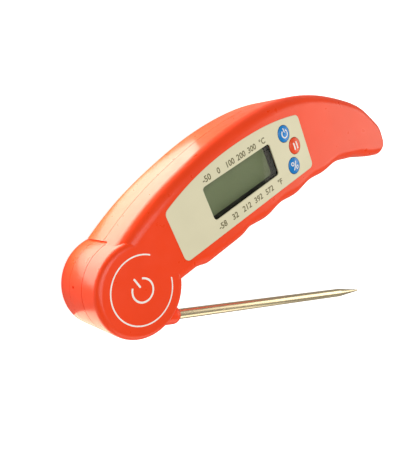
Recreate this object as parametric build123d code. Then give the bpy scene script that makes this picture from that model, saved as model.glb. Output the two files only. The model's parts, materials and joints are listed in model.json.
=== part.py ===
from build123d import *
import os
from math import cos, radians, sin, sqrt

# Folding probe thermometer, lying on its back.
# Origin: pivot axis where it meets the back plane.  +X runs along the handle to its tip,
# +Y points to the spine, +Z comes out of the display face.  All sizes in millimetres.

# --- handle -----------------------------------------------------------------------------
THICK = 25.0            # back plane to face
WALL = 2.0              # shell wall
SEAM_Z = 13.25          # parting line between the two shells, level with the slot's top
SEAM_GAP = 0.2          # open parting line
LIP = 1.0               # locating lip of the rear shell, height and width
FRONT_ROUND = 4.0       # round on the front edge of the handle
REAR_ROUND = 3.5        # round on the rear edge of the handle

# Spine of the handle, from inside the pivot disc to the nose.
SPINE = [(-1.5, 14.5), (8.0, 18.3), (18.1, 21.6), (35.0, 25.3), (51.9, 27.65), (66.0, 28.15),
         (85.8, 26.3), (104.8, 20.1), (118.8, 12.6), (129.0, 4.8), (134.9, -2.8)]
NOSE_CENTRE = (132.85, -13.0)
NOSE_R = 5.2
NOSE_TURN = -110.0      # the nose arc ends here, measured from +X
# Underside of the nose, from the end of that arc back to the first finger wave.
UNDER_NOSE = [(124.3, -15.4), (117.6, -12.2), (110.5, -9.95), (102.4, -7.8)]
WAVE_MEAN_Y = -7.45     # three finger waves along the lower edge
WAVE_HEIGHT = 0.5
WAVE_PITCH = 18.3
WAVE_FIRST_X = 93.3     # lowest point of the wave nearest the nose
WAVE_COUNT = 3
GRIP_END = (41.0, -7.85)
NECK_STEP = [(27.0, -7.85), (20.5, -6.4)]
NECK_END = (8.0, -6.4)

# --- pivot ------------------------------------------------------------------------------
HUB_R = 15.05           # pivot disc and rotating hub
DISC_Z = 16.0           # underside of the fixed pivot disc
DISC_ROUND = 1.9
HUB_TOP = 15.75
HUB_SPLIT = 7.65        # parting line between hub body and hub cover
HUB_ROUND = 2.1
HUB_WALL = 2.0
HUB_CUT_R = 15.5        # handle shells stay outside this radius below the disc
POST_R = 4.0            # fixed post that the hub turns on
POST_END = 5.9
RUNNING = 0.05          # radial running clearance of the hub on its post
PIVOT_THREAD_R = 1.2
PIVOT_HOLE_TOP = 15.0
WASHER_T = 0.8
CONTACT_BOARD_Z = (16.6, 17.8)
CONTACT_BOARD_R = 11.0
CONTACT_STUDS = (1.5, 8.6)              # radius, and distance from the pivot
CONTACT_STUDS_DEG = (90.0, 210.0, 330.0)
TRACKS = [(7.3, 8.1), (9.1, 9.9)]       # radii of the contact rings
TRACK_T = 0.1
HUB_TUBE_R = 6.2
POCKET_R = 12.8         # hollow of the fixed disc
STOP_R = (11.3, 13.3)   # fixed stop lug, radii
STOP_HALF_DEG = 5.0
STOP_FLOOR = 14.9
STOP_GROOVE_R = (11.0, 13.6)
STOP_GROOVE_Z = 14.7
STOP_AT_DEG = 170.0     # where the fixed lug sits round the pivot
STOP_SPARE_DEG = 1.5

# --- probe ------------------------------------------------------------------------------
PROBE_DEG = -30.5       # probe direction at rest, from +X
FOLDED_DEG = 4.5        # probe direction folded
OPEN_DEG = -175.5       # probe direction fully open
PROBE_OFFSET = -12.2    # probe axis from the pivot axis
PROBE_Z = 11.0
PROBE_R = 1.8
PROBE_BORE_R = 1.4
PROBE_START = -4.0      # distances along the probe, from the foot of the pivot
ROOT_R = 1.6            # swaged end of the tube, held in the boot
ROOT_BORE_R = 1.2
ROOT_END = 23.35
ROOT_BORE_END = 25.0
TAPER_START = 115.5
TIP_END = 130.7
TIP_R = 0.25
BOOT_R = 3.2
BOOT_END = 23.6
BOOT_ROUND = 2.8
SEAL_R = 2.5            # sealing ring in the boot
SEAL_AT = (19.1, 20.5)
SLOT_SPARE = 0.45       # room round the folded probe
CHANNEL_WALL = 1.6

# --- display and faceplate --------------------------------------------------------------
PLATE_T = 0.4
PLATE_LEFT = 17.4
PLATE_RIGHT = 86.4
PLATE_BOTTOM = -1.66
PLATE_TOP = [(17.4, 16.0), (28.8, 19.4), (43.2, 21.8), (57.6, 22.5), (72.0, 21.8), (86.4, 19.2)]
PLATE_CORNER = 2.0
WINDOW = (50.8, 10.06)  # centre of the display window
WINDOW_SIZE = (34.2, 12.0)
WINDOW_CORNER = 1.3
LENS_SIZE = (36.8, 14.4)
LENS_T = 0.8
PANEL_SIZE = (38.0, 16.0)
PANEL_TOP = 20.9
PANEL_T = 2.0
BOARD_TOP = 16.4
BOARD_T = 1.4
BOARD_X = (28.2, 103.5)
BOARD_Y = (-2.6, 17.2)
RIBBON_X = (9.4, 31.0)
RIBBON_Y = (2.4, 5.0)
RIBBON_TOP = 18.9
RIBBON_T = 0.4
COLLAR = 0.4            # dark lining of the display window

# --- buttons ----------------------------------------------------------------------------
BUTTONS = {"power_button": (76.4, 15.9), "hold_button": (80.0, 9.66), "unit_button": (76.5, 3.23)}
BUTTON_R = 3.0
BUTTON_HOLE_R = 3.2
BUTTON_FLANGE_R = 3.45
BUTTON_TOP = 25.6
BUTTON_DOME_R = 9.0
BUTTON_STEM_R = 1.1
BUTTON_TRAVEL = 0.5
SWITCH_SIZE = 4.5
SWITCH_H = 1.5
PLUNGER_R = 0.9
PLUNGER_H = 0.4

# --- battery ----------------------------------------------------------------------------
CELL = (94.0, 7.6)      # centre of the coin cell and its door
CELL_R = 10.0
CELL_Z = (2.6, 5.8)
DOOR_R = 11.0
DOOR_HOLE_R = 11.3
LUG_R = 12.3
LUG_Z = (2.15, 3.1)
LUG_HALF_DEG = 14.0
LUG_AT_DEG = 90.0
DOOR_TURN_DEG = 45.0
CRADLE_Z = (3.5, 7.0)
CRADLE_PLATE_Z = 6.2
CRADLE_R = (10.3, 11.9)
CRADLE_EARS_X = (80.0, 108.6)

# --- fasteners --------------------------------------------------------------------------
CASE_SCREWS = [(22.5, 8.0), (66.0, 21.6), (118.0, 6.0)]
BOARD_SCREWS = [(30.6, -0.4), (98.0, 12.0)]
HUB_SCREW_RADIUS = 10.2
HUB_SCREWS_DEG = [PROBE_DEG, PROBE_DEG + 90.0, PROBE_DEG + 180.0]
THREAD_R = 0.95
THREAD_HOLE_R = 1.0
HEAD_R = 1.9
HEAD_H = 1.4
HEAD_HOLE_R = 2.1
HEAD_SEAT_Z = 6.5       # floor of the screw pockets in the rear shell
CASE_BOSS_R = (3.0, 2.4)                # rear shell, front shell
CASE_HOLE_TOP = 20.5
BOARD_BOSS_R = 2.0
BOARD_THREAD_R = 0.7
BOARD_HOLE_TOP = 21.2
HUB_HOLE_TOP = 13.0

FACE_IN = THICK - WALL          # inner side of the face
PLATE_FLOOR = THICK - PLATE_T


# --- small helpers ----------------------------------------------------------------------
def disc(radius, z0, z1, at=(0, 0)):
    """Upright cylinder between two heights."""
    return Pos(at[0], at[1], (z0 + z1) / 2) * Cylinder(radius, z1 - z0)


def ring(r_in, r_out, z0, z1, at=(0, 0)):
    return disc(r_out, z0, z1, at) - disc(r_in, z0, z1, at)


def block(x, y, z):
    """Box from three (low, high) pairs."""
    centre = ((x[0] + x[1]) / 2, (y[0] + y[1]) / 2, (z[0] + z[1]) / 2)
    return Pos(*centre) * Box(x[1] - x[0], y[1] - y[0], z[1] - z[0])


def rounded_block(size, corner, z0, z1, at):
    """Upright slab with rounded corners."""
    return Pos(at[0], at[1], z0) * extrude(RectangleRounded(size[0], size[1], corner), z1 - z0)


def prism(face, z0, z1):
    return Pos(0, 0, z0) * extrude(face, z1 - z0)


def polar(radius, degrees, centre=(0, 0)):
    return (centre[0] + radius * cos(radians(degrees)), centre[1] + radius * sin(radians(degrees)))


def sector(r_in, r_out, mid_deg, half_deg, z0, z1, at=(0, 0)):
    """Arc-shaped lug or groove."""
    low = mid_deg - half_deg
    high = mid_deg + half_deg
    outer = CenterArc((0, 0), r_out, low, 2 * half_deg)
    inner = CenterArc((0, 0), r_in, low, 2 * half_deg)
    start = Line(polar(r_in, low), polar(r_out, low))
    end = Line(polar(r_in, high), polar(r_out, high))
    face = make_face([start.edge(), outer.edge(), end.edge(), inner.edge()])
    return Pos(at[0], at[1], 0) * prism(face, z0, z1)


def rod(radius, s0, s1):
    """Cylinder along the local X axis."""
    return Pos((s0 + s1) / 2, 0, 0) * Rot(0, 90, 0) * Cylinder(radius, s1 - s0)


def along_probe(degrees):
    """Placing of the probe's own frame (X along the probe) for a given direction."""
    foot = polar(PROBE_OFFSET, degrees + 90)
    return Location((foot[0], foot[1], PROBE_Z), (0, 0, degrees))


def screw(head_z, tip_z, at, head_r=HEAD_R, head_h=HEAD_H, thread_r=THREAD_R):
    """Pan-head screw driven upwards: head below, thread above."""
    body = disc(head_r, head_z, head_z + head_h, at) + disc(thread_r, head_z + head_h, tip_z, at)
    slot_w = head_r * 0.35
    slot_l = head_r * 1.3
    depth = head_h * 0.5
    for length, width in ((slot_l, slot_w), (slot_w, slot_l)):
        x = (at[0] - length / 2, at[0] + length / 2)
        y = (at[1] - width / 2, at[1] + width / 2)
        body -= block(x, y, (head_z, head_z + depth))
    return body


# --- outlines ---------------------------------------------------------------------------
def inset_curve(curve, distance, steps):
    """Spline a fixed distance to the right of a curve, with the same end directions."""
    points = []
    for step in range(steps + 1):
        at = curve.position_at(step / steps)
        along = curve.tangent_at(step / steps)
        points.append((at.X + along.Y * distance, at.Y - along.X * distance))
    first = curve.tangent_at(0.0)
    last = curve.tangent_at(1.0)
    return Spline(*points, tangents=[(first.X, first.Y), (last.X, last.Y)])


def handle_outline(inset=0.0):
    """Closed outline of the handle, from the pivot disc round the nose and back.

    A positive inset gives the same outline that much further in.
    """
    waves = []
    for half in range(2 * WAVE_COUNT):
        x = WAVE_FIRST_X - half * WAVE_PITCH / 2
        side = -1 if half % 2 == 0 else 1
        waves.append((x, WAVE_MEAN_Y + side * WAVE_HEIGHT))
    nose_start = polar(NOSE_R, 0.0, NOSE_CENTRE)
    nose_end = polar(NOSE_R, NOSE_TURN, NOSE_CENTRE)
    leave = polar(1.0, NOSE_TURN - 90.0)
    spine = Spline(*SPINE, nose_start, tangents=[(0.93, 0.37), (0.0, -1.0)])
    lower = Spline(nose_end, *UNDER_NOSE, *waves, GRIP_END, tangents=[leave, (-1.0, 0.0)])
    step = Spline(NECK_STEP[0], NECK_STEP[1], tangents=[(-1.0, 0.0), (-1.0, 0.0)])
    if inset > 0:
        spine = inset_curve(spine, inset, 14)
        lower = inset_curve(lower, inset, 28)
        step = inset_curve(step, inset, 5)
    nose = CenterArc(NOSE_CENTRE, NOSE_R - inset, 0.0, NOSE_TURN)
    neck_end = (NECK_END[0], NECK_END[1] + inset)
    grip = Line(lower @ 1, step @ 0)
    neck = Line(step @ 1, neck_end)
    close = Line(neck_end, spine @ 0)
    return make_face([curve.edge() for curve in (spine, nose, lower, grip, step, neck, close)])


def plate_outline(grow):
    """Faceplate outline; grow > 0 gives the recess that it lies in."""
    points = [(x, y + grow) for x, y in PLATE_TOP]
    points[0] = (points[0][0] - grow, points[0][1])
    points[-1] = (points[-1][0] + grow, points[-1][1])
    low_left = (PLATE_LEFT - grow, PLATE_BOTTOM - grow)
    low_right = (PLATE_RIGHT + grow, PLATE_BOTTOM - grow)
    sides = [Spline(*points), Line(points[0], low_left), Line(low_left, low_right),
             Line(low_right, points[-1])]
    face = make_face([side.edge() for side in sides])
    return fillet(face.vertices(), PLATE_CORNER)


OUTLINE = handle_outline()
INNER = handle_outline(WALL)
MIDDLE = handle_outline(WALL - LIP)


# --- volumes shared by both shells ------------------------------------------------------
def folded_band(above, half_height, reach):
    """Space below a line beside the folded probe, out to a radius round the pivot."""
    slab = along_probe(FOLDED_DEG) * block((-40.0, 160.0), (-60.0, above), (-half_height, half_height))
    z_low = PROBE_Z - half_height
    return slab & disc(reach, z_low, z_low + 2 * half_height)


def tip_reach():
    return sqrt(TIP_END ** 2 + PROBE_OFFSET ** 2)


def boot_reach():
    return sqrt(BOOT_END ** 2 + PROBE_OFFSET ** 2)


PROBE_ROOM = PROBE_R + SLOT_SPARE
BOOT_ROOM = BOOT_R + SLOT_SPARE
SLOT = folded_band(PROBE_ROOM, PROBE_ROOM, tip_reach() + 1.0)
SLOT += folded_band(BOOT_ROOM, BOOT_ROOM, boot_reach() + 0.7)
CHANNEL = folded_band(PROBE_ROOM + CHANNEL_WALL, PROBE_ROOM + CHANNEL_WALL,
                      tip_reach() + 1.0 + CHANNEL_WALL)
CHANNEL += folded_band(BOOT_ROOM + CHANNEL_WALL, BOOT_ROOM + CHANNEL_WALL,
                       boot_reach() + 0.7 + CHANNEL_WALL)
HUB_ROOM = disc(HUB_CUT_R, -1.0, DISC_Z)
HUB_HOUSING = disc(HUB_CUT_R + WALL, -1.0, DISC_Z + WALL)


def handle_solid():
    """Handle without its hollow, both edges rounded."""
    body = extrude(OUTLINE, THICK)
    front_edges = body.edges().filter_by_position(Axis.Z, THICK, THICK)
    front_edges = [edge for edge in front_edges if edge.center().X > 4.0]
    body = fillet(front_edges, FRONT_ROUND)
    rear_edges = body.edges().filter_by_position(Axis.Z, 0.0, 0.0)
    rear_edges = [edge for edge in rear_edges if edge.center().X > 4.0]
    return fillet(rear_edges, REAR_ROUND)


HANDLE = handle_solid()
HOLLOW = prism(INNER, WALL, FACE_IN) - CHANNEL - HUB_HOUSING


# --- handle pieces ----------------------------------------------------------------------
def pivot_disc():
    """Fixed round end of the front shell, with its pocket."""
    cap = disc(HUB_R, DISC_Z, THICK)
    rim = cap.edges().filter_by_position(Axis.Z, THICK, THICK)
    return fillet(rim, DISC_ROUND) - disc(POCKET_R, DISC_Z - 0.5, FACE_IN)


def front_shell():
    low = SEAM_Z + SEAM_GAP / 2
    shell = HANDLE & block((-40, 160), (-60, 60), (low, THICK + 1))
    shell = shell - HUB_ROOM - HOLLOW - disc(POCKET_R + 0.3, DISC_Z - 1.0, FACE_IN)
    shell += pivot_disc()
    shell += disc(POST_R, POST_END, FACE_IN + 0.5)
    shell -= disc(PIVOT_THREAD_R + 0.05, POST_END - 1.0, PIVOT_HOLE_TOP)
    shell += sector(STOP_R[0], STOP_R[1], STOP_AT_DEG, STOP_HALF_DEG, STOP_FLOOR, DISC_Z + 2.0)
    for angle in CONTACT_STUDS_DEG:
        at = polar(CONTACT_STUDS[1], angle)
        shell += disc(CONTACT_STUDS[0], CONTACT_BOARD_Z[1], FACE_IN + 0.5, at)
    # rabbet for the rear shell's lip, and the edge slot
    rabbet = prism(MIDDLE, low - 1.0, low + LIP + 0.1) - HUB_HOUSING
    shell -= rabbet - folded_band(PROBE_ROOM + CHANNEL_WALL, BOOT_ROOM + CHANNEL_WALL, 200.0)
    shell -= SLOT
    # passage for the ribbon between the pivot disc and the handle
    shell -= block((10.0, 20.0), (2.0, 8.0), (RIBBON_TOP - 0.8, 22.0))
    # bosses for the case and board screws
    for at in CASE_SCREWS:
        shell += disc(CASE_BOSS_R[1], low, FACE_IN + 0.5, at)
        shell -= disc(THREAD_HOLE_R, low - 1.0, CASE_HOLE_TOP, at)
    for at in BOARD_SCREWS:
        shell += disc(BOARD_BOSS_R, BOARD_TOP, FACE_IN + 0.5, at)
        shell -= disc(BOARD_THREAD_R + 0.05, BOARD_TOP - 1.0, BOARD_HOLE_TOP, at)
    # recess for the faceplate, seat for the lens, window and button holes
    shell -= prism(plate_outline(0.06), PLATE_FLOOR, THICK + 1.0)
    lens_room = (LENS_SIZE[0] + 0.2, LENS_SIZE[1] + 0.2)
    shell -= rounded_block(lens_room, WINDOW_CORNER, PLATE_FLOOR - LENS_T, THICK, WINDOW)
    lined = (WINDOW_SIZE[0] + 2 * COLLAR + 0.1, WINDOW_SIZE[1] + 2 * COLLAR + 0.1)
    shell -= rounded_block(lined, WINDOW_CORNER, FACE_IN - 1.0, THICK, WINDOW)
    for at in BUTTONS.values():
        shell -= disc(BUTTON_HOLE_R, FACE_IN - 1.0, THICK, at)
    return shell


def rear_shell():
    high = SEAM_Z - SEAM_GAP / 2
    shell = HANDLE & block((-40, 160), (-60, 60), (-1, high))
    shell = shell - HUB_ROOM
    shell -= HOLLOW
    lip = prism(MIDDLE, high - 1.0, high + LIP) - prism(INNER, high - 2.0, high + LIP + 1.0)
    lip -= folded_band(PROBE_ROOM + CHANNEL_WALL + 0.2, BOOT_ROOM + CHANNEL_WALL + 0.2, 200.0)
    lip -= disc(HUB_CUT_R + WALL + 0.2, 0.0, THICK)
    shell += lip
    shell -= SLOT
    for at in CASE_SCREWS:
        shell += disc(CASE_BOSS_R[0], 1.0, high, at)
        shell -= disc(HEAD_HOLE_R, -1.0, HEAD_SEAT_Z, at)
        shell -= disc(THREAD_R + 0.15, HEAD_SEAT_Z - 1.0, THICK, at)
    for x in CRADLE_EARS_X:
        shell += disc(1.7, 1.0, CRADLE_PLATE_Z, (x, CELL[1]))
    # battery opening with its two bayonet notches
    shell -= disc(DOOR_HOLE_R, -1.0, WALL + 0.5, CELL)
    for turn in (0.0, 180.0):
        middle = LUG_AT_DEG - DOOR_TURN_DEG + turn
        shell -= sector(DOOR_HOLE_R - 1.0, LUG_R + 0.4, middle, LUG_HALF_DEG + 2.0,
                        -1.0, WALL + 0.5, CELL)
    return shell


def faceplate():
    plate = prism(plate_outline(0.0), PLATE_FLOOR, THICK)
    plate -= rounded_block(WINDOW_SIZE, WINDOW_CORNER, PLATE_FLOOR - 1.0, THICK + 1.0, WINDOW)
    for at in BUTTONS.values():
        plate -= disc(BUTTON_HOLE_R, PLATE_FLOOR - 1.0, THICK + 1.0, at)
    return plate


def case_screws():
    return [screw(HEAD_SEAT_Z - HEAD_H, CASE_HOLE_TOP - 0.5, at) for at in CASE_SCREWS]


# --- display and electronics ------------------------------------------------------------
def display_lens():
    return rounded_block(LENS_SIZE, WINDOW_CORNER, PLATE_FLOOR - LENS_T, PLATE_FLOOR, WINDOW)


def display_bezel():
    """Dark frame on the panel, with a collar that lines the window up to the lens."""
    lens_low = PLATE_FLOOR - LENS_T
    bezel = rounded_block(PANEL_SIZE, 0.8, PANEL_TOP, FACE_IN, WINDOW)
    collar = (WINDOW_SIZE[0] + 2 * COLLAR, WINDOW_SIZE[1] + 2 * COLLAR)
    bezel += rounded_block(collar, WINDOW_CORNER, FACE_IN - 1.0, lens_low, WINDOW)
    return bezel - rounded_block(WINDOW_SIZE, WINDOW_CORNER, PANEL_TOP - 1.0, THICK, WINDOW)


def display_panel():
    return rounded_block(PANEL_SIZE, 0.4, PANEL_TOP - PANEL_T, PANEL_TOP, WINDOW)


def zebra_strips():
    half_x = PANEL_SIZE[0] / 2 - 0.5
    strips = []
    for side in (-1, 1):
        y = WINDOW[1] + side * (PANEL_SIZE[1] / 2 - 1.1)
        strips.append(block((WINDOW[0] - half_x, WINDOW[0] + half_x), (y - 0.8, y + 0.8),
                            (BOARD_TOP, PANEL_TOP - PANEL_T)))
    return strips


def main_board():
    low = BOARD_TOP - BOARD_T
    board = block(BOARD_X, BOARD_Y, (low, BOARD_TOP))
    board -= Pos(BOARD_X[1], BOARD_Y[1], BOARD_TOP) * Rot(0, 0, 45) * Box(6.0, 6.0, 10.0)
    for at in BOARD_SCREWS:
        board -= disc(BOARD_THREAD_R + 0.2, low - 1.0, BOARD_TOP + 1.0, at)
    return board


def chip_blob():
    low = BOARD_TOP - BOARD_T
    blob = disc(3.6, low - 1.3, low, (46.0, 9.0))
    edge = blob.edges().filter_by_position(Axis.Z, low - 1.3, low - 1.3)
    return fillet(edge, 1.1)


def tact_switches():
    switches = []
    half = SWITCH_SIZE / 2
    for at in BUTTONS.values():
        top = BOARD_TOP + SWITCH_H
        case = block((at[0] - half, at[0] + half), (at[1] - half, at[1] + half), (BOARD_TOP, top))
        switches.append(case + disc(PLUNGER_R, top - 0.2, top + PLUNGER_H, at))
    return switches


def board_screws():
    low = BOARD_TOP - BOARD_T
    head_h = 1.1
    top = BOARD_HOLE_TOP - 0.4
    return [screw(low - head_h, top, at, 1.5, head_h, BOARD_THREAD_R) for at in BOARD_SCREWS]


def contact_board():
    return ring(POST_R + 0.4, CONTACT_BOARD_R, *CONTACT_BOARD_Z)


def contact_tracks():
    low = CONTACT_BOARD_Z[0]
    return [ring(inner, outer, low - TRACK_T, low) for inner, outer in TRACKS]


def link_ribbon():
    """Flat ribbon from the contact board, through the neck, to the main board."""
    left, right = RIBBON_X
    top = RIBBON_TOP
    under = top - RIBBON_T
    start = CONTACT_BOARD_Z[1]
    path = [(left, start), (left, top), (right, top), (right, BOARD_TOP),
            (right - RIBBON_T, BOARD_TOP), (right - RIBBON_T, under), (left + RIBBON_T, under),
            (left + RIBBON_T, start)]
    face = make_face(Polyline(*path, close=True).edges())
    width = RIBBON_Y[1] - RIBBON_Y[0]
    return Pos(0, RIBBON_Y[1], 0) * Rot(90, 0, 0) * extrude(face, width)


def button(at):
    """Domed cap with a flange that keeps it behind the face, and a stem to its switch."""
    flange_top = FACE_IN - 0.2
    stem_end = BOARD_TOP + SWITCH_H + PLUNGER_H + BUTTON_TRAVEL + 0.05
    cap = disc(BUTTON_R, flange_top - 0.5, BUTTON_TOP, at)
    dome_centre = BUTTON_TOP - BUTTON_DOME_R
    cap = cap & (Pos(at[0], at[1], dome_centre) * Sphere(BUTTON_DOME_R))
    cap += disc(BUTTON_FLANGE_R, flange_top - 1.0, flange_top, at)
    return cap + disc(BUTTON_STEM_R, stem_end, flange_top - 0.9, at)


# --- battery ----------------------------------------------------------------------------
def coin_cell():
    step = CELL_Z[1] - 0.4
    return disc(CELL_R, CELL_Z[0], step, CELL) + disc(CELL_R - 1.4, step, CELL_Z[1], CELL)


def battery_cradle():
    cradle = ring(CRADLE_R[0], CRADLE_R[1], CRADLE_Z[0], CRADLE_Z[1], CELL)
    cradle += disc(CRADLE_R[0] + 0.2, CRADLE_PLATE_Z, CRADLE_Z[1], CELL)
    ears = (CRADLE_EARS_X[0] - 1.6, CRADLE_EARS_X[1] + 1.6)
    cradle += block(ears, (CELL[1] - 2.0, CELL[1] + 2.0), (CRADLE_PLATE_Z, CRADLE_Z[1]))
    cradle -= disc(CRADLE_R[0], CRADLE_Z[0] - 1.0, CRADLE_PLATE_Z, CELL)
    # slots for the two contact legs
    left = CELL[0] - CELL_R
    cradle -= block((left - 0.6, left + 0.2), (CELL[1] - 1.8, CELL[1] + 1.8), (3.0, 8.0))
    cradle -= block((left + 2.7, left + 3.5), (CELL[1] - 1.8, CELL[1] + 1.8), (6.0, 8.0))
    return cradle


def battery_contact_plus():
    left = CELL[0] - CELL_R
    width = (CELL[1] - 1.5, CELL[1] + 1.5)
    return block((left - 0.35, left - 0.05), width, (3.2, BOARD_TOP - BOARD_T))


def battery_contact_minus():
    left = CELL[0] - CELL_R
    width = (CELL[1] - 1.5, CELL[1] + 1.5)
    leg = block((left + 2.95, left + 3.25), width, (CELL_Z[1], BOARD_TOP - BOARD_T))
    leaf = block((left + 2.95, left + 16.0), width, (CELL_Z[1], CELL_Z[1] + 0.3))
    return leg + leaf


def battery_door():
    door = disc(DOOR_R, 0.0, WALL, CELL) + disc(8.0, WALL - 0.1, WALL + 0.4, CELL)
    rim = door.edges().filter_by_position(Axis.Z, 0.0, 0.0)
    door = chamfer(rim, 0.3)
    door -= block((CELL[0] - 6.5, CELL[0] + 6.5), (CELL[1] - 0.9, CELL[1] + 0.9), (-1.0, 1.2))
    for turn in (0.0, 180.0):
        middle = LUG_AT_DEG + turn
        door += sector(10.3, DOOR_R, middle, LUG_HALF_DEG, WALL - 0.1, LUG_Z[1], CELL)
        door += sector(10.3, LUG_R, middle, LUG_HALF_DEG, LUG_Z[0], LUG_Z[1], CELL)
    return door


# --- pivot and probe --------------------------------------------------------------------
def hub_body():
    hub = disc(HUB_R, HUB_SPLIT + 0.05, HUB_TOP)
    hub -= disc(HUB_R - HUB_WALL, HUB_SPLIT - 1.0, HUB_TOP - 2.5)
    hub += ring(POST_R + RUNNING, HUB_TUBE_R, POST_END + 0.1, HUB_TOP - 1.0)
    for angle in HUB_SCREWS_DEG:
        hub += disc(2.0, HUB_SPLIT + 0.05, HUB_TOP - 2.0, polar(HUB_SCREW_RADIUS, angle))
    boot = rod(BOOT_R, -1.0, BOOT_END)
    mouth = boot.edges().filter_by_position(Axis.X, BOOT_END, BOOT_END)
    boot = fillet(mouth, BOOT_ROUND)
    inner_grip = along_probe(PROBE_DEG) * rod(BOOT_R, PROBE_START - 1.0, 0.0)
    inner_grip = inner_grip & disc(HUB_R, 0.0, HUB_TOP)
    hub += along_probe(PROBE_DEG) * boot + inner_grip
    hub -= along_probe(PROBE_DEG) * rod(ROOT_R + 0.02, PROBE_START, BOOT_END + 5.0)
    hub -= along_probe(PROBE_DEG) * rod(SEAL_R + 0.05, SEAL_AT[0] - 0.1, SEAL_AT[1] + 0.1)
    hub -= disc(POST_R + RUNNING, 0.0, THICK)
    for angle in HUB_SCREWS_DEG:
        hub -= disc(THREAD_HOLE_R, HUB_SPLIT - 1.0, HUB_HOLE_TOP, polar(HUB_SCREW_RADIUS, angle))
    # groove for the stop lug and recess for the wiper
    swing_low = FOLDED_DEG - PROBE_DEG
    swing_high = PROBE_DEG - OPEN_DEG
    half = (swing_low + swing_high) / 2 + STOP_HALF_DEG + STOP_SPARE_DEG
    middle = STOP_AT_DEG + (swing_high - swing_low) / 2
    hub -= sector(STOP_GROOVE_R[0], STOP_GROOVE_R[1], middle, half, STOP_GROOVE_Z, THICK)
    hub -= ring(6.9, 10.6, 15.2, THICK)
    # small index hole in the rim
    rim_hole = Rot(0, 0, 150.0) * Pos(HUB_R, 0, 10.3) * Rot(0, 90, 0) * Cylinder(0.45, 2.4)
    return hub - rim_hole


def hub_cover():
    top = HUB_SPLIT - 0.05
    cover = disc(HUB_R, 0.0, top)
    rim = cover.edges().filter_by_position(Axis.Z, 0.0, 0.0)
    cover = fillet(rim, HUB_ROUND)
    cover -= disc(HUB_R - HUB_WALL, WALL, THICK)
    for angle in HUB_SCREWS_DEG:
        at = polar(HUB_SCREW_RADIUS, angle)
        cover += disc(2.6, WALL - 0.5, top, at)
        cover -= disc(HEAD_HOLE_R, -1.0, WALL, at)
        cover -= disc(THREAD_R + 0.15, 0.0, THICK, at)
    return cover


def hub_screws():
    places = [polar(HUB_SCREW_RADIUS, angle) for angle in HUB_SCREWS_DEG]
    return [screw(WALL - HEAD_H, HUB_HOLE_TOP - 0.4, at) for at in places]


def pivot_washer():
    return ring(PIVOT_THREAD_R + 0.15, 6.0, POST_END - WASHER_T, POST_END)


def pivot_screw():
    head_h = 1.6
    head_z = POST_END - WASHER_T - head_h
    return screw(head_z, PIVOT_HOLE_TOP - 0.5, (0, 0), 3.0, head_h, PIVOT_THREAD_R)


def switch_wiper():
    wiper = ring(7.1, 10.4, 15.2, 15.5)
    for angle in (0.0, 120.0, 240.0):
        wiper += Rot(0, 0, angle) * block((7.2, 10.0), (-0.6, 0.6), (15.4, 16.4))
    return wiper


def probe_tube():
    """Hollow probe with a swaged root and a ground point, turned about the local X axis."""
    bore_end = 112.0
    tip_bore_r = 0.95
    tip_bore_end = 120.5
    profile = Polyline((PROBE_START, ROOT_BORE_R), (PROBE_START, ROOT_R), (ROOT_END, ROOT_R),
                       (ROOT_END, PROBE_R), (TAPER_START, PROBE_R),
                       (TIP_END - 0.4, TIP_R + 0.1), (TIP_END, 0.0), (tip_bore_end, 0.0),
                       (tip_bore_end, tip_bore_r), (bore_end, tip_bore_r),
                       (bore_end, PROBE_BORE_R), (ROOT_BORE_END, PROBE_BORE_R),
                       (ROOT_BORE_END, ROOT_BORE_R), close=True)
    tube = revolve(make_face(profile.edges()), Axis.X)
    return along_probe(PROBE_DEG) * tube


def sensor_bead():
    bead = rod(0.8, 117.0, 120.0)
    return along_probe(PROBE_DEG) * fillet(bead.edges().filter_by(GeomType.CIRCLE), 0.35)


def sensor_leads():
    leads = []
    for side in (-1, 1):
        lead = Pos(0, side * 0.4, 0) * rod(0.22, PROBE_START + 0.5, 117.0)
        leads.append(along_probe(PROBE_DEG) * lead)
    return leads


def probe_seal():
    seal = rod(SEAL_R, *SEAL_AT) - rod(ROOT_R, SEAL_AT[0] - 1.0, SEAL_AT[1] + 1.0)
    return along_probe(PROBE_DEG) * seal


# --- output -----------------------------------------------------------------------------
def write(name, shape):
    """Write one node; a list becomes a group of separate solids."""
    if isinstance(shape, list):
        solids = [solid for item in shape for solid in item.solids()]
    else:
        solids = shape.solids()
    result = solids[0] if len(solids) == 1 else Compound(children=solids)
    result.label = name
    export_step(result, "parts/" + name + ".step")


def main():
    os.makedirs("parts", exist_ok=True)
    makers = [front_shell, rear_shell, faceplate, case_screws, display_lens, display_bezel,
              display_panel, zebra_strips, main_board, chip_blob, tact_switches, board_screws,
              contact_board, contact_tracks, link_ribbon, coin_cell, battery_cradle,
              battery_contact_plus, battery_contact_minus, battery_door, hub_body, hub_cover,
              hub_screws, pivot_washer, pivot_screw, switch_wiper, probe_tube, sensor_bead,
              sensor_leads, probe_seal]
    for maker in makers:
        write(maker.__name__, maker())
    for name, at in BUTTONS.items():
        write(name, button(at))


main()
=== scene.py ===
import json
import math

import bmesh
import bpy
from mathutils import Matrix, Vector

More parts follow.
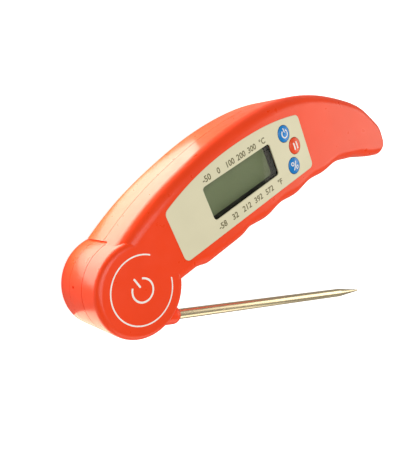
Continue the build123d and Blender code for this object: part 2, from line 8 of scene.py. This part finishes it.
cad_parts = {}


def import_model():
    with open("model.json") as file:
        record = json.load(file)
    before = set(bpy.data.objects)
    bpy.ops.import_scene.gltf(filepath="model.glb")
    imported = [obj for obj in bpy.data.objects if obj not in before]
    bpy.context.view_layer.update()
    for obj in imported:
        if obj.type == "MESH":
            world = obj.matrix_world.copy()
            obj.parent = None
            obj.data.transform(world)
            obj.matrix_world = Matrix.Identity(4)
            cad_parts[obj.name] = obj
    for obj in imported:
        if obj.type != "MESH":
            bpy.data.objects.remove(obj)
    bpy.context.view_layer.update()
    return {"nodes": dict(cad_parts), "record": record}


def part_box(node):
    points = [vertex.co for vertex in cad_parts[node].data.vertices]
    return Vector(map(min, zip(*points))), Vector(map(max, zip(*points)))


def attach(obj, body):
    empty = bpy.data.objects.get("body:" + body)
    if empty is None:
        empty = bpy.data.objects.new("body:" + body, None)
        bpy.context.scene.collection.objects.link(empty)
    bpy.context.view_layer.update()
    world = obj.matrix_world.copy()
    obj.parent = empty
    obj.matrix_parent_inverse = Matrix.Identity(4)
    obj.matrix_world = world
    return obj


# Folding probe thermometer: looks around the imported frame, in metres.
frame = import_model()
MM = 0.001


# --- places read from the frame -----------------------------------------------------------
def centre(node):
    low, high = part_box(node)
    return (low + high) / 2


DISC_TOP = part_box("front_shell")[1].z
PLATE_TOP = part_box("faceplate")[1].z


# --- material helpers ---------------------------------------------------------------------
class Mat:
    """A Principled material with a few helpers for its node tree."""

    def __init__(self, name, colour, roughness, **sockets):
        self.mat = bpy.data.materials.new(name)
        self.mat.use_nodes = True
        self.tree = self.mat.node_tree
        self.tree.nodes.clear()
        self.out = self.node("ShaderNodeOutputMaterial")
        self.bsdf = self.node("ShaderNodeBsdfPrincipled")
        self.link(self.bsdf.outputs["BSDF"], self.out.inputs["Surface"])
        self.bsdf.inputs["Base Color"].default_value = (*colour, 1.0)
        self.bsdf.inputs["Roughness"].default_value = roughness
        for key, value in sockets.items():
            self.bsdf.inputs[key.replace("_", " ")].default_value = value
        self.colour = colour
        self.coords = self.node("ShaderNodeTexCoord").outputs["Object"]

    def node(self, kind, **settings):
        made = self.tree.nodes.new(kind)
        for key, value in settings.items():
            setattr(made, key, value)
        return made

    def link(self, a, b):
        self.tree.links.new(a, b)

    def noise(self, scale, detail=3.0, rough=0.5, stretch=None):
        made = self.node("ShaderNodeTexNoise")
        made.inputs["Scale"].default_value = scale
        made.inputs["Detail"].default_value = detail
        made.inputs["Roughness"].default_value = rough
        source = self.coords
        if stretch is not None:
            mapping = self.node("ShaderNodeMapping", vector_type="TEXTURE")
            mapping.inputs["Scale"].default_value = stretch[0]
            mapping.inputs["Rotation"].default_value = stretch[1]
            self.link(source, mapping.inputs["Vector"])
            source = mapping.outputs["Vector"]
        self.link(source, made.inputs["Vector"])
        return made.outputs["Fac"]

    def ramp(self, fac, stops):
        made = self.node("ShaderNodeValToRGB")
        ramp = made.color_ramp
        while len(ramp.elements) < len(stops):
            ramp.elements.new(0.5)
        for element, (place, colour) in zip(ramp.elements, stops):
            element.position = place
            element.color = (*colour, 1.0)
        self.link(fac, made.inputs["Fac"])
        return made.outputs["Color"]

    def remap(self, fac, low, high, start=0.3, end=0.7):
        made = self.node("ShaderNodeMapRange")
        made.inputs["From Min"].default_value = start
        made.inputs["From Max"].default_value = end
        made.inputs["To Min"].default_value = low
        made.inputs["To Max"].default_value = high
        self.link(fac, made.inputs["Value"])
        return made.outputs["Result"]

    def vary_colour(self, scale, amount, detail=3.0):
        """Soft colour drift either side of the base colour."""
        dark = [c * (1 - amount) for c in self.colour]
        light = [min(1.0, c * (1 + amount)) for c in self.colour]
        drift = self.ramp(self.noise(scale, detail), [(0.3, dark), (0.7, light)])
        self.link(drift, self.bsdf.inputs["Base Color"])

    def vary_roughness(self, scale, low, high, detail=4.0, stretch=None):
        value = self.remap(self.noise(scale, detail, stretch=stretch), low, high)
        self.link(value, self.bsdf.inputs["Roughness"])

    def bump(self, height, distance, strength=1.0):
        made = self.node("ShaderNodeBump")
        made.inputs["Strength"].default_value = strength
        made.inputs["Distance"].default_value = distance
        self.link(height, made.inputs["Height"])
        self.link(made.outputs["Normal"], self.bsdf.inputs["Normal"])

    def bump_noise(self, scale, distance, strength=1.0, detail=3.0, stretch=None):
        self.bump(self.noise(scale, detail, stretch=stretch), distance, strength)


def shell_plastic(name, colour):
    """Glossy moulded shell: slow orange-peel waviness and slightly uneven gloss."""
    made = Mat(name, colour, 0.3, Coat_Weight=0.12, Coat_Roughness=0.12, Specular_IOR_Level=0.4)
    made.vary_colour(35.0, 0.05)
    made.vary_roughness(260.0, 0.27, 0.36)
    made.bump_noise(420.0, 0.00004, 0.35)
    return made.mat


def plate_film():
    made = Mat("plate_film", (0.7, 0.67, 0.48), 0.42)
    made.vary_colour(60.0, 0.035)
    made.vary_roughness(500.0, 0.38, 0.5)
    made.bump_noise(2600.0, 0.00002, 0.4)
    return made.mat


def clear_lens():
    made = Mat("clear_lens", (0.96, 0.98, 0.96), 0.03, Transmission_Weight=1.0, IOR=1.2)
    made.vary_roughness(180.0, 0.015, 0.05)
    return made.mat


def moulded(name, colour, roughness, grain=1500.0):
    made = Mat(name, colour, roughness)
    made.vary_colour(120.0, 0.12)
    made.vary_roughness(600.0, roughness * 0.85, min(1.0, roughness * 1.15))
    made.bump_noise(grain, 0.00003, 0.5)
    return made.mat


def liquid_crystal():
    """Grey-green panel with a faint sheen."""
    made = Mat("liquid_crystal", (0.2, 0.24, 0.125), 0.4)
    made.vary_colour(25.0, 0.05)
    made.vary_roughness(300.0, 0.36, 0.46)
    return made.mat


def metal(name, colour, roughness, stretch=None, scratch=0.00001):
    made = Mat(name, colour, roughness, Metallic=1.0)
    made.vary_roughness(900.0, roughness * 0.75, roughness * 1.35, stretch=stretch)
    made.bump_noise(1600.0, scratch, 0.5, stretch=stretch)
    return made.mat


def circuit_board():
    """Green solder mask, lighter over the copper."""
    mask = (0.02, 0.16, 0.06)
    made = Mat("circuit_board", mask, 0.35)
    traces = made.ramp(made.noise(700.0, 1.0), [(0.48, mask), (0.52, (0.05, 0.26, 0.1))])
    made.link(traces, made.bsdf.inputs["Base Color"])
    made.vary_roughness(400.0, 0.3, 0.45)
    return made.mat


def ink(name, colour):
    made = Mat(name, colour, 0.45)
    made.vary_colour(900.0, 0.08)
    made.vary_roughness(1500.0, 0.4, 0.55)
    return made.mat


PROBE_DIRECTION = Vector(frame["record"]["mounts"][1]["axis"])
PROBE_TURN = math.atan2(PROBE_DIRECTION.y, PROBE_DIRECTION.x)
ALONG_PROBE = ((25.0, 1.0, 1.0), (0.0, 0.0, PROBE_TURN))

RED = shell_plastic("red_shell", (0.88, 0.052, 0.004))
# Painted shade: the hub takes a slightly darker copy of the shell red, standing in for the
# shadier look of the hub.
SHADED_RED_HUB = shell_plastic("red_hub", (0.86, 0.05, 0.004))
SILVER = metal("zinc_plate", (0.72, 0.71, 0.68), 0.3)
BRASS = metal("spring_brass", (0.8, 0.62, 0.34), 0.28)
MATERIALS = {
    "front_shell": RED,
    "rear_shell": RED,
    "battery_door": RED,
    "hub_body": SHADED_RED_HUB,
    "hub_cover": SHADED_RED_HUB,
    "faceplate": plate_film(),
    "display_lens": clear_lens(),
    "display_bezel": moulded("bezel_black", (0.012, 0.011, 0.01), 0.7),
    "display_panel": liquid_crystal(),
    "zebra_strips": moulded("zebra_rubber", (0.02, 0.02, 0.02), 0.7),
    "main_board": circuit_board(),
    "chip_blob": moulded("epoxy", (0.01, 0.01, 0.01), 0.25),
    "tact_switches": moulded("switch_black", (0.02, 0.02, 0.022), 0.45),
    "contact_tracks": metal("copper", (0.78, 0.42, 0.25), 0.25),
    "link_ribbon": moulded("ribbon", (0.7, 0.7, 0.66), 0.5),
    "coin_cell": metal("cell_steel", (0.76, 0.76, 0.77), 0.25),
    "battery_cradle": moulded("cradle_black", (0.02, 0.02, 0.02), 0.5),
    "battery_contact_plus": BRASS,
    "battery_contact_minus": BRASS,
    "switch_wiper": BRASS,
    # Painted reflection: the steel probe's gold tint stands in for warm surroundings reflected
    # in it.
    "probe_tube": metal("probe_steel", (0.86, 0.75, 0.52), 0.24, ALONG_PROBE, 0.000003),
    "sensor_bead": moulded("bead_glaze", (0.12, 0.04, 0.02), 0.2),
    "sensor_leads": metal("tinned_wire", (0.7, 0.7, 0.7), 0.3),
    "probe_seal": moulded("seal_rubber", (0.02, 0.02, 0.02), 0.8),
    "power_button": moulded("button_blue", (0.0, 0.2, 0.6), 0.25, 500.0),
    "unit_button": moulded("button_blue_unit", (0.0, 0.2, 0.6), 0.25, 500.0),
    "hold_button": moulded("button_red", (0.82, 0.075, 0.02), 0.25, 500.0),
}
MATERIALS["contact_board"] = MATERIALS["main_board"]
for screw_node in ("case_screws", "board_screws", "hub_screws", "pivot_washer", "pivot_screw"):
    MATERIALS[screw_node] = SILVER

for node_name, node in frame["nodes"].items():
    node.data.materials.clear()
    node.data.materials.append(MATERIALS[node_name])

WHITE_INK = ink("white_ink", (0.86, 0.85, 0.82))
OLIVE_INK = ink("olive_ink", (0.13, 0.115, 0.045))


# --- thin printed pieces ------------------------------------------------------------------
PRINT_T = 0.03 * MM
PRINT_SINK = 0.01 * MM
DIAL_RING_R = 10.6 * MM
DIAL_RING_WIDTH = 0.44 * MM
DIAL_RING_DEG = (48.0, 348.0)
DIAL_SIGN_R = 3.6 * MM
DIAL_SIGN_STROKE = 0.6 * MM
DIAL_SIGN_DEG = 12.0
DIAL_BAR_LENGTH = 3.6 * MM
DIAL_BAR_Y = 3.0 * MM
POWER_GAP_DEG = (125.0, 415.0)
NUMERAL_SIZE = 2.9 * MM
NUMERAL_BOLD = 0.05 * MM
CELSIUS_X = (36.8 * MM, 65.0 * MM)
CELSIUS_Y = 17.9 * MM
FAHRENHEIT_X = (36.0 * MM, 67.0 * MM)
FAHRENHEIT_Y = 1.2 * MM
BUTTON_DOME_R = 9.0 * MM
BUTTON_STROKE = 0.45 * MM
LONGEST_FLAT = 0.6 * MM     # longer edges are cut so that they follow the dome


def piece(name, mesh, material, body):
    made = bpy.data.objects.new(name, mesh)
    bpy.context.scene.collection.objects.link(made)
    mesh.materials.clear()
    mesh.materials.append(material)
    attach(made, body)


def slab(bm, outline, low, high):
    """Closed prism between two heights from a counter-clockwise outline."""
    bottom = [bm.verts.new((x, y, low)) for x, y in outline]
    top = [bm.verts.new((x, y, high)) for x, y in outline]
    bm.faces.new(list(reversed(bottom)))
    bm.faces.new(top)
    count = len(outline)
    for i in range(count):
        j = (i + 1) % count
        bm.faces.new((bottom[i], bottom[j], top[j], top[i]))


def arc_band(bm, at, radius, width, start, end, low, high, steps=48):
    """Flat band along an arc, angles in degrees; a full turn closes on itself."""
    inner = radius - width / 2
    outer = radius + width / 2
    full = abs(end - start) >= 360.0
    rings = []
    for i in range(steps if full else steps + 1):
        angle = math.radians(start + (end - start) * i / steps)
        direction = Vector((math.cos(angle), math.sin(angle)))
        section = []
        for distance, height in ((inner, low), (outer, low), (outer, high), (inner, high)):
            point = Vector(at[:2]) + direction * distance
            section.append(bm.verts.new((point.x, point.y, height)))
        rings.append(section)
    pairs = list(zip(rings, rings[1:] + rings[:1])) if full else list(zip(rings, rings[1:]))
    for first, second in pairs:
        for i in range(4):
            j = (i + 1) % 4
            bm.faces.new((first[i], first[j], second[j], second[i]))
    if not full:
        bm.faces.new(rings[0])
        bm.faces.new(list(reversed(rings[-1])))


def bar(bm, middle, length, width, angle, low, high):
    """Flat bar with slightly clipped corners."""
    turn = Matrix.Rotation(math.radians(angle), 2)
    clip = min(length, width) * 0.25
    half_l = length / 2
    half_w = width / 2
    corners = [(half_l - clip, -half_w), (half_l, -half_w + clip), (half_l, half_w - clip),
               (half_l - clip, half_w), (-half_l + clip, half_w), (-half_l, half_w - clip),
               (-half_l, -half_w + clip), (-half_l + clip, -half_w)]
    outline = [Vector(middle[:2]) + turn @ Vector(corner) for corner in corners]
    slab(bm, [tuple(point) for point in outline], low, high)


def finish_mesh(bm, name):
    bmesh.ops.recalc_face_normals(bm, faces=bm.faces)
    mesh = bpy.data.meshes.new(name)
    bm.to_mesh(mesh)
    bm.free()
    return mesh


def print_levels(surface):
    return surface - PRINT_SINK, surface + PRINT_T


def dial_print():
    """White ring and a power sign on the pivot disc."""
    bm = bmesh.new()
    low, high = print_levels(DISC_TOP)
    arc_band(bm, (0, 0), DIAL_RING_R, DIAL_RING_WIDTH, *DIAL_RING_DEG, low, high, 96)
    start, end = [angle + DIAL_SIGN_DEG for angle in POWER_GAP_DEG]
    arc_band(bm, (0, 0), DIAL_SIGN_R, DIAL_SIGN_STROKE, start, end, low, high)
    bar_middle = Matrix.Rotation(math.radians(DIAL_SIGN_DEG), 2) @ Vector((0.0, DIAL_BAR_Y))
    bar(bm, bar_middle, DIAL_BAR_LENGTH, DIAL_SIGN_STROKE, 90.0 + DIAL_SIGN_DEG, low, high)
    piece("dial_print", finish_mesh(bm, "dial_print"), WHITE_INK, "handle")


def numeral(text, at, surface):
    """Printed number as a thin closed mesh."""
    curve = bpy.data.curves.new("numeral", "FONT")
    curve.body = text
    curve.size = NUMERAL_SIZE
    curve.align_x = "CENTER"
    curve.align_y = "CENTER"
    curve.extrude = (PRINT_T + PRINT_SINK) / 2
    curve.offset = NUMERAL_BOLD
    curve.resolution_u = 3
    holder = bpy.data.objects.new("numeral", curve)
    mesh = bpy.data.meshes.new_from_object(holder)
    bpy.data.objects.remove(holder)
    mesh.transform(Matrix.Translation((at[0], at[1], surface + (PRINT_T - PRINT_SINK) / 2)))
    return mesh


def scale_print(name, x_range, y, marks):
    """A row of numbers and a unit across the faceplate."""
    bm = bmesh.new()
    step = (x_range[1] - x_range[0]) / (len(marks) - 1)
    for i, text in enumerate(marks):
        place = (x_range[0] + i * step, y)
        bm.from_mesh(numeral(text, place, PLATE_TOP))
    piece(name, finish_mesh(bm, name), OLIVE_INK, "handle")


def button_print(name, body, draw):
    """White sign that follows a button's domed top."""
    middle = centre(body)
    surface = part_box(body)[1].z
    bm = bmesh.new()
    draw(bm, middle, *print_levels(surface))
    bmesh.ops.triangulate(bm, faces=bm.faces[:])
    long_edges = [edge for edge in bm.edges if edge.calc_length() > LONGEST_FLAT]
    bmesh.ops.subdivide_edges(bm, edges=long_edges, cuts=5, use_grid_fill=True)
    for vertex in bm.verts:
        reach = (vertex.co.xy - middle.xy).length
        vertex.co.z -= BUTTON_DOME_R - math.sqrt(BUTTON_DOME_R ** 2 - reach ** 2)
    piece(name, finish_mesh(bm, name), WHITE_INK, body)


def power_sign(bm, middle, low, high):
    """Broken ring with an upright bar in its gap."""
    ring_r = 1.45 * MM
    bar_length = 1.6 * MM
    bar_y = 1.3 * MM
    arc_band(bm, middle, ring_r, BUTTON_STROKE, *POWER_GAP_DEG, low, high, 32)
    bar(bm, middle.xy + Vector((0, bar_y)), bar_length, BUTTON_STROKE, 90.0, low, high)


def hold_sign(bm, middle, low, high):
    """Two upright bars."""
    bar_length = 2.8 * MM
    bar_width = 0.65 * MM
    bar_x = 0.75 * MM
    for side in (-1, 1):
        bar(bm, middle.xy + Vector((side * bar_x, 0)), bar_length, bar_width, 90.0, low, high)


def unit_sign(bm, middle, low, high):
    """Two small rings with a slanted bar between them."""
    ring_r = 0.58 * MM
    ring_width = 0.36 * MM
    ring_xy = 0.95 * MM
    bar_length = 3.6 * MM
    bar_width = 0.42 * MM
    for side in (-1, 1):
        place = middle + Vector((side * ring_xy, -side * ring_xy, 0))
        arc_band(bm, place, ring_r, ring_width, 0.0, 360.0, low, high, 20)
    bar(bm, middle.xy, bar_length, bar_width, 55.0, low, high)


dial_print()
scale_print("celsius_print", CELSIUS_X, CELSIUS_Y, ["-50", "0", "100", "200", "300", "\u00b0C"])
scale_print("fahrenheit_print", FAHRENHEIT_X, FAHRENHEIT_Y,
            ["-58", "32", "212", "392", "572", "\u00b0F"])
button_print("power_mark", "power_button", power_sign)
button_print("hold_mark", "hold_button", hold_sign)
button_print("unit_mark", "unit_button", unit_sign)


# --- floor, light and camera --------------------------------------------------------------
WARM = (1.0, 0.94, 0.82)
AMBER = (1.0, 0.85, 0.6)
PALE = (1.0, 0.94, 0.84)
HANDLE_MIDDLE = (0.05, 0.0, 0.0)


def floor():
    bm = bmesh.new()
    reach = 6.0
    top = -0.2 * MM
    corners = [(-reach, -reach), (reach, -reach), (reach, reach), (-reach, reach)]
    slab(bm, corners, -20 * MM, top)
    made = bpy.data.objects.new("floor", finish_mesh(bm, "floor"))
    bpy.context.scene.collection.objects.link(made)
    paint = Mat("floor_paint", (0.9, 0.9, 0.9), 0.8)
    paint.vary_colour(2.0, 0.01)
    paint.bsdf.inputs["Emission Color"].default_value = (1.0, 1.0, 1.0, 1.0)
    paint.bsdf.inputs["Emission Strength"].default_value = 0.75
    made.data.materials.append(paint.mat)
    made.visible_glossy = False


def softbox(name, place, target, size, radiance, colour=(1.0, 1.0, 1.0)):
    """Rectangular lamp of a given brightness, hidden from the camera."""
    light = bpy.data.lights.new(name, "AREA")
    light.shape = "RECTANGLE"
    light.size = size[0]
    light.size_y = size[1]
    light.energy = radiance * math.pi * size[0] * size[1]
    light.color = colour
    made = bpy.data.objects.new(name, light)
    bpy.context.scene.collection.objects.link(made)
    made.location = place
    made.rotation_euler = (Vector(target) - Vector(place)).to_track_quat("-Z", "Y").to_euler()
    made.visible_camera = False
    return made


def table_glow(name, place, size, angle, radiance, colour=(1.0, 1.0, 1.0), mirrored=True):
    """Lit patch of the table, shining upwards; patches seen in reflections lie on top."""
    height = 1.2 * MM if mirrored else 0.6 * MM
    made = softbox(name, (place[0], place[1], height), (place[0], place[1], 1.0), size, radiance,
                   colour)
    made.rotation_euler = (math.pi, 0.0, math.radians(angle))
    made.visible_glossy = mirrored


def camera():
    place = Vector((-0.05507, 0.06128, 0.14853))
    target = Vector((0.02886, 0.0017, 0.025))
    roll = math.radians(-95.793)
    data = bpy.data.cameras.new("camera")
    data.sensor_width = 36.0
    data.lens = 38.24
    data.clip_start = 0.005
    made = bpy.data.objects.new("camera", data)
    bpy.context.scene.collection.objects.link(made)
    turn = (target - place).to_track_quat("-Z", "Y").to_matrix().to_4x4()
    made.matrix_world = Matrix.Translation(place) @ turn @ Matrix.Rotation(-roll, 4, "Z")
    bpy.context.scene.camera = made


def world(strength, colour):
    made = bpy.data.worlds.new("studio")
    made.use_nodes = True
    background = made.node_tree.nodes["Background"]
    background.inputs["Color"].default_value = (*colour, 1.0)
    background.inputs["Strength"].default_value = strength
    bpy.context.scene.world = made


bpy.context.scene.view_settings.view_transform = "Standard"
floor()
world(0.3, PALE)
softbox("overhead", (0.0, 0.05, 0.7), HANDLE_MIDDLE, (0.5, 0.5), 2.9)
softbox("right_side", (0.52, -0.15, 0.29), (0.125, -0.005, 0.025), (0.35, 0.3), 2.0, WARM)
softbox("low_front", (-0.1, -0.7, 0.3), HANDLE_MIDDLE, (0.8, 0.5), 1.3, WARM)
softbox("behind_camera", (-0.35, 0.3, 0.75), HANDLE_MIDDLE, (0.5, 0.5), 1.3, WARM)
table_glow("spine_fill_low", (0.0236, 0.0382), (0.075, 0.028), 12.6, 9.0, WARM, False)
table_glow("spine_fill_high", (0.0975, 0.0362), (0.07, 0.028), -17.0, 7.0, WARM, False)
table_glow("hub_highlight", (0.012, 0.036), (0.082, 0.028), 13.0, 3.6, WARM)
table_glow("hub_glow", (-0.024, -0.022), (0.034, 0.036), 0.0, 2.2, AMBER)
camera()
